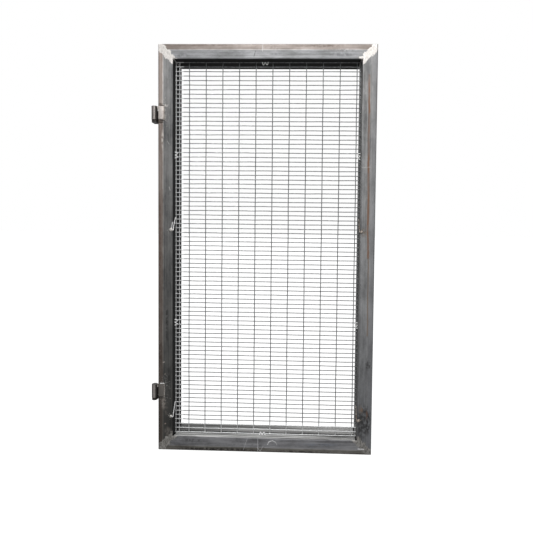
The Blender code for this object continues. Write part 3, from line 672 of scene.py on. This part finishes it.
def dome(bm, foot, outward, radius, height, squash, dice):
    """A lump of weld metal with a flat foot, standing out along a direction."""
    outward = Vector(outward).normalized()
    across = outward.orthogonal().normalized()
    other = outward.cross(across)
    sides, rows = 10, 4
    rings = []
    lumps = [dice.uniform(0.86, 1.0) for _ in range(sides)]
    for row in range(rows):
        angle = row / rows * math.pi / 2
        rings.append([bm.verts.new(Vector(foot) + outward * height * math.sin(angle) +
                                   (across * math.cos(a) * squash + other * math.sin(a)) *
                                   radius * math.cos(angle) * lumps[k])
                      for k, a in enumerate(2 * math.pi * k / sides for k in range(sides))])
    top = bm.verts.new(Vector(foot) + outward * height)
    bm.faces.new(rings[0][::-1])
    for near, far in zip(rings, rings[1:]):
        for k in range(sides):
            j = (k + 1) % sides
            bm.faces.new((near[k], near[j], far[j], far[k]))
    for k in range(sides):
        bm.faces.new((rings[-1][k], rings[-1][(k + 1) % sides], top))


def bend_clip(name, material):
    low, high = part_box(name)
    middle = (low + high) / 2
    if "side" in name:
        side = 1 if middle.x > 0 else -1
        middle.x = side * (LEAF_HALF_WIDTH - TUBE_FACE)
        along, inward = Vector((0, 0, 1)), Vector((-side, 0, 0))
    else:
        side = 1 if middle.z > LEAF_HEIGHT / 2 else -1
        middle.z = LEAF_HEIGHT - TUBE_FACE if side > 0 else TUBE_FACE
        along, inward = Vector((1, 0, 0)), Vector((0, 0, -side))
    half_angle = math.atan(CLIP_PITCH / 2 / CLIP_REACH)
    clear = CLIP_WIRE / 2 + GAP
    peak = clear - (CLIP_BEND / math.sin(half_angle) - CLIP_BEND)
    valley = peak + CLIP_REACH
    end = clear + CLIP_WIRE / 2
    end_along = CLIP_PITCH / 2 * (valley - end) / CLIP_REACH
    corners = [(-CLIP_PITCH / 2 - end_along, end), (-CLIP_PITCH / 2, valley), (0, peak),
               (CLIP_PITCH / 2, valley), (CLIP_PITCH / 2 + end_along, end)]
    path = round_bends([middle + along * a + inward * b for a, b in corners], CLIP_BEND, 7)
    bm = bmesh.new()
    sweep(bm, path, [CLIP_WIRE / 2] * len(path), 12)
    dice = random.Random(name)
    foot = CLIP_PITCH / 2 + end_along - CLIP_TACK_INSET
    for offset in (-foot, 0.0, foot):
        dome(bm, middle + along * offset + inward * GAP, inward, *CLIP_TACK, 1.0, dice)
    finish_piece(name + "_wire", bm, material, "leaf", [name])


bright_zinc = zinc_wire("bright_zinc_plated_wire", 0.20, "#fdfdfb", "#e6e7e6", "#ffffff")
for name in list(nodes):
    if name.startswith("mesh_clip_"):
        bend_clip(name, bright_zinc)


# ---------------------------------------------------------------------------------------------
# Mesh ties: 3 mm wire held against the edge of the mesh, brought round the inner corner of the
# stile and tacked to its front with a lump of weld. The upper one on the hinge side is doubled.
# Those on the latch side have dulled and started to rust.
# ---------------------------------------------------------------------------------------------
TIE_WIRE = 0.003
TIE_BEND = 0.004
TIE_LENGTH = 0.060
TIE_FOOT = 0.007
TUBE_RADIUS = 0.007
TACK_RADIUS, DOUBLE_TACK_RADIUS = 0.0070, 0.0095
TACK_HEIGHT = 0.0058
TACK_LUMP = 0.0022          # lumps and silica specks of the cooled metal
TACK_SPATTER = 9            # droplets round each tack
PRONG_RISE = (0.038, 0.014, -0.001)     # tip, bend and foot of the second prong above the tie's bend
PRONG_LEAN = (0.006, 0.002, 0.0)        # and how far each is set in towards the opening
PRONG_BEND = 0.006


def tack_metal(name, hollows, crests):
    """Rough weld metal left as it cooled: pale silica specks on a dark, blued lump."""
    material, tree, shader, place = start_finish(name, metallic=0.45, roughness=0.48)
    lumps = grain(tree, place["Object"], (TACK_LUMP,) * 3, detail=3.0)
    ramp = add_node(tree, "ShaderNodeValToRGB", {0: lumps})
    ramp.color_ramp.elements[0].position, ramp.color_ramp.elements[1].position = 0.36, 0.58
    ramp.color_ramp.elements[0].color = linear(hollows)
    ramp.color_ramp.elements[1].color = linear(crests)
    bump = add_node(tree, "ShaderNodeBump", {"Strength": 0.6, "Distance": 0.0006, "Height": lumps})
    tree.links.new(ramp.outputs[0], shader.inputs["Base Color"])
    tree.links.new(bump.outputs[0], shader.inputs["Normal"])
    return material


def bend_tie(name, material, weld):
    low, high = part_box(name)
    side = 1 if low.x > 0 else -1
    radius = TIE_WIRE / 2
    clear = radius + GAP
    behind = MESH_FRONT - clear
    height = high.z - TIE_LENGTH
    edge = LEAF_HALF_WIDTH - TUBE_FACE - clear
    face = FRONT - clear
    corners = [(side * edge, behind, height + TIE_LENGTH - 0.0002),
               (side * edge, FRONT + TUBE_RADIUS / 2, height + TIE_LENGTH / 4),
               (side * edge, face, height),
               (side * (edge + TUBE_RADIUS + TIE_FOOT), face, height - TIE_FOOT / 4)]
    path = round_bends(corners, TIE_BEND, 6)
    bm = bmesh.new()
    sweep(bm, path, [radius] * len(path), 12)
    doubled = name == "mesh_tie_hinge_side_upper"
    if doubled:
        x = side * (edge + TUBE_RADIUS + 0.002)
        prong = [(x - side * lean, depth, height + rise)
                 for lean, depth, rise in zip(PRONG_LEAN, (face - 0.0004, face, face), PRONG_RISE)]
        prong = round_bends(prong, PRONG_BEND, 4)
        sweep(bm, prong, [radius] * len(prong), 12)
    finish_piece(name + "_wire", bm, material, "leaf", [name])
    dice = random.Random(name)
    tack = bmesh.new()
    foot = Vector((side * (edge + TUBE_RADIUS + TIE_FOOT * 0.5), FRONT - 0.0002, height + 0.002))
    tack_radius = DOUBLE_TACK_RADIUS if doubled else TACK_RADIUS
    dome(tack, foot, (0, -1, 0), tack_radius, TACK_HEIGHT, 1.1, dice)
    for _ in range(TACK_SPATTER):
        spot = foot + Vector((dice.uniform(-0.005, 0.018) * side, 0, dice.uniform(-0.018, 0.014)))
        size = dice.uniform(0.0006, 0.0013)
        dome(tack, spot, (0, -1, 0), size, size * 0.8, 1.0, dice)
    finish_piece(name + "_tack", tack, weld, "leaf")


pale_tack = tack_metal("silica_specked_tack_weld", "#8b8680", "#e6e4df")
dull_zinc = zinc_wire("dulled_rusting_tie_wire", 0.15, "#b3aca4", "#7d6858", "#b3aca4")
dull_tack = tack_metal("rust_filmed_tack_weld", "#75655a", "#c2b8ae")
for name in list(nodes):
    if name.startswith("mesh_tie_hinge_side"):
        bend_tie(name, bright_zinc, pale_tack)
    elif name.startswith("mesh_tie_latch_side"):
        bend_tie(name, dull_zinc, dull_tack)


# ---------------------------------------------------------------------------------------------
# Leaf half of each hinge: a turned barrel with a blind bore, and a flag sheared from 5 mm flat
# and laid on the face of the stile. Both are bare bright steel with a thin film of rust.
# ---------------------------------------------------------------------------------------------
FLAG_EDGE = 0.0007          # roundness of the sheared edges
ROLLED_LINES = (0.020, 0.020, 0.0012)
RUST_BLOOM = 0.008
TURNING_PITCH = 0.0009      # a real cut leaves 0.2 mm rings; these are as fine as shows
BARREL_WEAR = (0.010, 0.010, 0.020)


def flat_bar_steel():
    """Sheared hot-rolled flat, wiped clean: warm light grey with faint rolling lines and rust bloom, darker
    low on the leaf as painted shade.
    """
    material, tree, shader, place = start_finish("wiped_flat_bar_steel", metallic=0.5, roughness=0.42)
    lines = grain(tree, place["Object"], ROLLED_LINES, detail=3.0)
    ramp = add_node(tree, "ShaderNodeValToRGB", {0: lines})
    ramp.color_ramp.elements[0].position, ramp.color_ramp.elements[1].position = 0.32, 0.66
    ramp.color_ramp.elements[0].color = linear("#bdb3ac")
    ramp.color_ramp.elements[1].color = linear("#ece6e0")
    bloom = grain(tree, place["Object"], (RUST_BLOOM,) * 3, detail=4.0)
    bloom = add_node(tree, "ShaderNodeMapRange", {0: bloom, 1: 0.52, 2: 0.72, 3: 0.0, 4: 0.45})
    colour = add_node(tree, "ShaderNodeMix", {0: bloom.outputs[0], 6: ramp.outputs[0], 7: linear("#8d6c57")},
                      data_type="RGBA").outputs[2]
    # Painted shade: the flat is darker low on the leaf.
    low_flag_shade = add_node(tree, "ShaderNodeSeparateXYZ", {0: place["Object"]}).outputs[2]
    low_flag_shade = add_node(tree, "ShaderNodeMapRange", {0: low_flag_shade, 1: 0.5, 2: 1.4, 3: 0.85, 4: 0.0})
    colour = add_node(tree, "ShaderNodeMix", {0: low_flag_shade.outputs[0], 6: colour, 7: linear("#57544f")},
                      data_type="RGBA").outputs[2]
    bump = add_node(tree, "ShaderNodeBump", {"Strength": 0.25, "Distance": 0.0004, "Height": lines})
    tree.links.new(colour, shader.inputs["Base Color"])
    tree.links.new(bump.outputs[0], shader.inputs["Normal"])
    return material


def turned_bar_steel():
    """Bar turned on a lathe: ringed, with a painted reflection light down the front and painted shade near
    black round the rest.
    """
    material, tree, shader, place = start_finish("turned_bar_steel", metallic=0.75, roughness=0.36)
    rings = grain(tree, place["Object"], (0.5, 0.5, TURNING_PITCH), detail=1.0)
    wear = grain(tree, place["Object"], BARREL_WEAR, detail=3.0)
    mixed = add_node(tree, "ShaderNodeMix", {0: 0.5, 2: rings, 3: wear}).outputs[0]
    ramp = add_node(tree, "ShaderNodeValToRGB", {0: mixed})
    ramp.color_ramp.elements[0].position, ramp.color_ramp.elements[1].position = 0.36, 0.62
    ramp.color_ramp.elements[0].color = linear("#8f8883")
    ramp.color_ramp.elements[1].color = linear("#c4beba")
    bump = add_node(tree, "ShaderNodeBump", {"Strength": 0.3, "Distance": 0.0003, "Height": rings})
    # Painted reflection: light down the front of the barrel, near black round the rest.
    front = add_node(tree, "ShaderNodeSeparateXYZ", {0: place["Normal"]}).outputs[1]
    painted_shading = add_node(tree, "ShaderNodeMapRange", {0: front, 1: -0.97, 2: -0.84, 3: 0.0, 4: 0.9})
    colour = add_node(tree, "ShaderNodeMix", {0: painted_shading.outputs[0], 6: ramp.outputs[0], 7: linear("#2c2927")},
                      data_type="RGBA").outputs[2]
    tree.links.new(colour, shader.inputs["Base Color"])
    tree.links.new(bump.outputs[0], shader.inputs["Normal"])
    return material


def shear_flat(name, body, material):
    """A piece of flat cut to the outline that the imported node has, with its edges rounded."""
    source = nodes[name]
    bm = bmesh.new()
    bm.from_mesh(source.data)
    bmesh.ops.remove_doubles(bm, verts=bm.verts, dist=1e-6)
    bmesh.ops.dissolve_limit(bm, angle_limit=0.01, verts=bm.verts, edges=bm.edges)
    sharp = [edge for edge in bm.edges if edge.calc_face_angle(0) > 0.5]
    bmesh.ops.bevel(bm, geom=sharp, offset=FLAG_EDGE, segments=3, profile=0.5, affect="EDGES")
    finish_piece(name + "_sheared", bm, material, body, [name], sharp_angle=35)


flag_steel, barrel_steel = flat_bar_steel(), turned_bar_steel()
for level in ("upper", "lower"):
    give(nodes[f"{level}_leaf_barrel"], barrel_steel)
    shear_flat(f"{level}_leaf_flag", "leaf", flag_steel)


# ---------------------------------------------------------------------------------------------
# Hinge welds: a fillet round the flag and a short bead between flag and barrel, laid by hand in
# overlapping ripples. Heat leaves them straw and blue, and fine spatter sticks to the stile.
# ---------------------------------------------------------------------------------------------
BEAD_RADIUS = 0.0022
RIPPLE = 0.0022             # distance between ripples
BEAD_TURN = 0.0024          # radius at which a bead goes round a corner
HEAT_PATCH = 0.006          # patches of straw and blue
SPATTER_REACH = 0.034
SPATTER_SIZE = (0.0004, 0.0012)
SPATTER_COUNT = 70
BEAD_LIGHT_AND_SHADE = [             # painted shadow on the legs of the upper fillets and the bottom leg of the lower, then a painted highlight on the lower one's top leg
    ((-0.4850, 1.6040), (0.0150, 0.0040), "#2b2623"),
    ((-0.4850, 1.5400), (0.0150, 0.0040), "#26211f"),
    ((-0.4850, 0.2550), (0.0150, 0.0040), "#1d1a18"),
    ((-0.4830, 0.3190), (0.0170, 0.0045), "#ffffff"),
]


def rippled_bead_metal():
    """As-laid mild-steel weld: grey with straw and blue heat colours that follow the ripples."""
    material, tree, shader, place = start_finish("rippled_weld_metal", metallic=0.6, roughness=0.40)
    heat = grain(tree, place["Object"], (HEAT_PATCH,) * 3, detail=3.0)
    ramp = add_node(tree, "ShaderNodeValToRGB", {0: heat})
    ramp.color_ramp.elements[0].position, ramp.color_ramp.elements[1].position = 0.30, 0.70
    ramp.color_ramp.elements[0].color = linear("#6a6561")
    ramp.color_ramp.elements[1].color = linear("#f0ece6")
    middle = ramp.color_ramp.elements.new(0.5)
    middle.color = linear("#b3aca5")
    colour = ramp.outputs[0]
    # Painted shadow and painted highlight on the legs of the fillets.
    for centre, half_sizes, shade in BEAD_LIGHT_AND_SHADE:
        whole = patch(tree, place["Object"], centre, half_sizes, 0.3)
        share = add_node(tree, "ShaderNodeMath", {0: whole, 1: 0.85}, operation="MULTIPLY")
        colour = add_node(tree, "ShaderNodeMix", {0: share.outputs[0], 6: colour, 7: linear(shade)},
                          data_type="RGBA").outputs[2]
    bump = add_node(tree, "ShaderNodeBump", {"Strength": 0.4, "Distance": 0.0004, "Height": heat})
    tree.links.new(colour, shader.inputs["Base Color"])
    tree.links.new(bump.outputs[0], shader.inputs["Normal"])
    return material


def lay_bead(name, corners, body, material):
    """A bead along straight legs, swelling and thinning with each ripple."""
    bm = bmesh.new()
    path = []
    corners = round_bends(corners, BEAD_TURN, 4) if len(corners) > 2 else [Vector(c) for c in corners]
    for start, end in zip(corners, corners[1:]):
        count = max(1, round((end - start).length / (RIPPLE / 5)))
        path += [start.lerp(end, k / count) for k in range(count)]
    path.append(corners[-1])
    travelled, radii = 0.0, []
    for i, point in enumerate(path):
        travelled += (point - path[i - 1]).length if i else 0.0
        phase = travelled / RIPPLE % 1
        radii.append(BEAD_RADIUS * (0.84 + 0.16 * math.sqrt(math.sin(math.pi * (0.08 + 0.84 * phase)))))
    radii[0] = radii[-1] = BEAD_RADIUS * 0.55
    sweep(bm, path, radii, 12)
    finish_piece(name + "_bead", bm, material, body, [name], sharp_angle=80)


def flag_bead_corners(level):
    low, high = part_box(f"{level}_leaf_flag_weld")
    far, near = high.x - BEAD_RADIUS, low.x
    depth = (low.y + high.y) / 2
    return [(near, depth, high.z - BEAD_RADIUS), (far, depth, high.z - BEAD_RADIUS),
            (far, depth, low.z + BEAD_RADIUS), (near, depth, low.z + BEAD_RADIUS)]


def bead_ends(name):
    """The two ends of a straight bead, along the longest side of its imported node."""
    low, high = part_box(name)
    middle = (low + high) / 2
    axis = max(range(3), key=lambda k: high[k] - low[k])
    start, end = middle.copy(), middle.copy()
    start[axis], end[axis] = low[axis], high[axis]
    return [start, end]


def scatter_spatter(level, material):
    """Droplets thrown by the arc, thickest close to the weld."""
    low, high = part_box(f"{level}_leaf_flag_weld")
    dice = random.Random(level)
    bm = bmesh.new()
    inner_edge = -LEAF_HALF_WIDTH + TUBE_FACE - TUBE_RADIUS - 0.002
    for _ in range(SPATTER_COUNT):
        away = SPATTER_REACH * dice.random() ** 1.8 + 0.0015
        edge = dice.choice("above below beside".split())
        if edge == "beside":
            spot = (high.x + away, dice.uniform(low.z - 0.008, high.z + 0.008))
        else:
            spot = (dice.uniform(low.x, high.x + 0.012), high.z + away if edge == "above" else low.z - away)
        if not -LEAF_HALF_WIDTH + TUBE_RADIUS + 0.002 < spot[0] < inner_edge:
            continue
        size = dice.uniform(*SPATTER_SIZE)
        dome(bm, (spot[0], FRONT - 0.0001, spot[1]), (0, -1, 0), size, size * 0.7, 1.0, dice)
    finish_piece(f"{level}_weld_spatter", bm, material, "leaf")


bead_metal = rippled_bead_metal()
for level in ("upper", "lower"):
    lay_bead(f"{level}_leaf_flag_weld", flag_bead_corners(level), "leaf", bead_metal)
    name = f"{level}_leaf_barrel_weld"
    lay_bead(name, bead_ends(name), "leaf", bead_metal)
    scatter_spatter(level, pale_tack)


# ---------------------------------------------------------------------------------------------
# Post half of each hinge: a seat under the leaf's barrel, cut from 25 mm flat and welded to a small
# plate for the front of the gate post. A ground pin stands in it, and a brass washer on the pin
# carries the leaf.
# ---------------------------------------------------------------------------------------------
BLACK_ISLANDS = (0.006, 0.006, 0.010)   # where the scale is thick
GREASE_SMEAR = (0.006, 0.006, 0.015)
GROUND_RING = 0.0005        # a grinding wheel's rings are finer; these are as fine as shows
TARNISH = 0.004


def black_flat_steel():
    """Hot-rolled flat in its black scale, greyed a little where it has been rubbed in handling."""
    material, tree, shader, place = start_finish("black_hot_rolled_flat", metallic=0.3, roughness=0.5)
    islands = grain(tree, place["Object"], BLACK_ISLANDS, detail=4.0)
    ramp = add_node(tree, "ShaderNodeValToRGB", {0: islands})
    ramp.color_ramp.elements[0].position, ramp.color_ramp.elements[1].position = 0.38, 0.64
    ramp.color_ramp.elements[0].color = linear("#1f1d1c")
    ramp.color_ramp.elements[1].color = linear("#4b4744")
    bump = add_node(tree, "ShaderNodeBump", {"Strength": 0.3, "Distance": 0.0004, "Height": islands})
    tree.links.new(ramp.outputs[0], shader.inputs["Base Color"])
    tree.links.new(bump.outputs[0], shader.inputs["Normal"])
    return material


def ground_pin_steel():
    """Silver steel, centreless ground and greased: bright, with the finest of rings."""
    material, tree, shader, place = start_finish("ground_pin_steel", metallic=1.0, roughness=0.2)
    rings = grain(tree, place["Object"], (0.5, 0.5, GROUND_RING), detail=1.0)
    smear = grain(tree, place["Object"], GREASE_SMEAR, detail=3.0)
    ramp = add_node(tree, "ShaderNodeValToRGB", {0: smear})
    ramp.color_ramp.elements[0].position, ramp.color_ramp.elements[1].position = 0.38, 0.62
    ramp.color_ramp.elements[0].color = linear("#a19d98")
    ramp.color_ramp.elements[1].color = linear("#c9c7c4")
    shine = add_node(tree, "ShaderNodeMapRange", {0: rings, 1: 0.3, 2: 0.7, 3: 0.16, 4: 0.28})
    tree.links.new(ramp.outputs[0], shader.inputs["Base Color"])
    tree.links.new(shine.outputs[0], shader.inputs["Roughness"])
    return material


def washer_brass():
    """Stamped brass, brown to black at the rim and rubbed bright where the barrel presses on it."""
    material, tree, shader, place = start_finish("stamped_washer_brass", metallic=1.0, roughness=0.3)
    tarnish = grain(tree, place["Object"], (TARNISH,) * 3, detail=3.0)
    ramp = add_node(tree, "ShaderNodeValToRGB", {0: tarnish})
    ramp.color_ramp.elements[0].position, ramp.color_ramp.elements[1].position = 0.36, 0.62
    ramp.color_ramp.elements[0].color = linear("#8a6a35")
    ramp.color_ramp.elements[1].color = linear("#cfae6a")
    flat = add_node(tree, "ShaderNodeSeparateXYZ", {0: place["Normal"]}).outputs[2]
    flat = add_node(tree, "ShaderNodeMath", {0: flat}, operation="ABSOLUTE")
    rim = add_node(tree, "ShaderNodeMapRange", {0: flat.outputs[0], 1: 0.4, 2: 0.7, 3: 1.0, 4: 0.0},
                   interpolation_type="SMOOTHSTEP")
    colour = add_node(tree, "ShaderNodeMix", {0: rim.outputs[0], 6: ramp.outputs[0], 7: linear("#2b251b")},
                      data_type="RGBA").outputs[2]
    bump = add_node(tree, "ShaderNodeBump", {"Strength": 0.2, "Distance": 0.0002, "Height": tarnish})
    tree.links.new(colour, shader.inputs["Base Color"])
    tree.links.new(bump.outputs[0], shader.inputs["Normal"])
    return material


black_flat, pin_steel, brass = black_flat_steel(), ground_pin_steel(), washer_brass()
for level in ("upper", "lower"):
    give(nodes[f"{level}_pin"], pin_steel)
    give(nodes[f"{level}_thrust_washer"], brass)
    give(nodes[f"{level}_post_seat"], black_flat)
    shear_flat(f"{level}_post_plate", "post_side", black_flat)
    name = f"{level}_post_seat_weld"
    lay_bead(name, bead_ends(name), "post_side", bead_metal)


# ---------------------------------------------------------------------------------------------
# Studio: the leaf stands on a plain white sweep. A soft light high in front lights its upper part
# most, a weak one low in front fills the rest, and one behind lights the back of the frame.
# ---------------------------------------------------------------------------------------------
FLOOR_HALF = 30.0
FLOOR_DROP = 0.0006
PAPER_GLOW = 1.25           # makes the sweep read as pure white to the eye
GLOW_SHARE = 0.88
LIGHTS = (                  # name, place, target, size and watts
    ("key_light", (0.05, -2.1, 3.4), (0.0, 0.0, 1.8), (1.2, 1.0), 56.0),
    ("fill_light", (0.3, -3.0, 0.9), (0.0, 0.0, 1.2), (1.6, 1.6), 14.0),
    ("back_light", (-0.9, 2.4, 3.0), (0.0, 0.0, 0.6), (0.8, 1.2), 45.0),
)
SKY_DIM, SKY_BRIGHT = 0.12, 0.75        # strength at the horizon and overhead
LENS, SENSOR = 30.02, 36.0              # millimetres
LENS_SHIFT = (-0.0635, -0.0550)
EYE = (0.2173, -2.1050, 1.0868)
YAW, PITCH, ROLL = 0.02855, -0.03735, -0.01145


def lay_floor():
    bm = bmesh.new()
    bmesh.ops.create_grid(bm, x_segments=4, y_segments=4, size=FLOOR_HALF)
    mesh = bpy.data.meshes.new("studio_floor")
    bm.to_mesh(mesh)
    bm.free()
    floor = bpy.data.objects.new("studio_floor", mesh)
    floor.location = (0, 0, -FLOOR_DROP)
    bpy.context.scene.collection.objects.link(floor)
    material = bpy.data.materials.new("white_paper_sweep")
    material.use_nodes = True
    tree = material.node_tree
    paper = tree.nodes["Principled BSDF"]
    paper.inputs["Roughness"].default_value = 0.9
    paper.inputs["Specular IOR Level"].default_value = 0.0
    paper.inputs["Base Color"].default_value = linear("#8f8f8f")
    glow = add_node(tree, "ShaderNodeEmission", {"Color": linear("#ffffff"), "Strength": PAPER_GLOW})
    seen = add_node(tree, "ShaderNodeLightPath", {}).outputs["Is Camera Ray"]
    share = add_node(tree, "ShaderNodeMath", {0: seen, 1: GLOW_SHARE}, operation="MULTIPLY")
    lit = add_node(tree, "ShaderNodeMixShader", {0: share.outputs[0], 1: paper.outputs[0],
                                                 2: glow.outputs[0]})
    tree.links.new(lit.outputs[0], tree.nodes["Material Output"].inputs[0])
    mesh.materials.append(material)


def hang_light(name, location, target, size, watts):
    data = bpy.data.lights.new(name, "AREA")
    data.shape, data.size, data.size_y, data.energy = "RECTANGLE", size[0], size[1], watts
    light = bpy.data.objects.new(name, data)
    light.location = location
    light.rotation_euler = (Vector(target) - Vector(location)).to_track_quat("-Z", "Y").to_euler()
    light.visible_camera = False
    bpy.context.scene.collection.objects.link(light)


def paint_sky():
    """White to the eye; as a light it is dim at the horizon and brighter overhead."""
    world = bpy.data.worlds.new("studio_white")
    bpy.context.scene.world = world
    world.use_nodes = True
    tree = world.node_tree
    tree.nodes.clear()
    towards = add_node(tree, "ShaderNodeTexCoord", {}).outputs["Generated"]
    height = add_node(tree, "ShaderNodeSeparateXYZ", {0: towards}).outputs[2]
    level = add_node(tree, "ShaderNodeMapRange", {0: height, 1: -0.1, 2: 0.9, 3: SKY_DIM, 4: SKY_BRIGHT})
    dim = add_node(tree, "ShaderNodeBackground", {0: linear("#fdfdff"), 1: level.outputs[0]})
    white = add_node(tree, "ShaderNodeBackground", {0: linear("#ffffff"), 1: 1.0})
    seen = add_node(tree, "ShaderNodeLightPath", {}).outputs["Is Camera Ray"]
    mixed = add_node(tree, "ShaderNodeMixShader", {0: seen, 1: dim.outputs[0], 2: white.outputs[0]})
    output = add_node(tree, "ShaderNodeOutputWorld", {0: mixed.outputs[0]})
    output.is_active_output = True


def place_camera():
    """Chest height, two metres in front and a little to the right of the middle of the leaf."""
    data = bpy.data.cameras.new("camera")
    data.sensor_width, data.lens = SENSOR, LENS
    data.shift_x, data.shift_y = LENS_SHIFT
    data.clip_start, data.clip_end = 0.05, 200.0
    camera = bpy.data.objects.new("camera", data)
    level = Matrix.Rotation(YAW, 4, "Z") @ Matrix.Rotation(PITCH, 4, "X") @ Matrix.Rotation(ROLL, 4, "Y")
    camera.matrix_world = Matrix.Translation(EYE) @ level @ Matrix.Rotation(math.pi / 2, 4, "X")
    bpy.context.scene.collection.objects.link(camera)
    bpy.context.scene.camera = camera


lay_floor()
paint_sky()
for light in LIGHTS:
    hang_light(*light)
place_camera()
bpy.context.scene.view_settings.view_transform = "Standard"
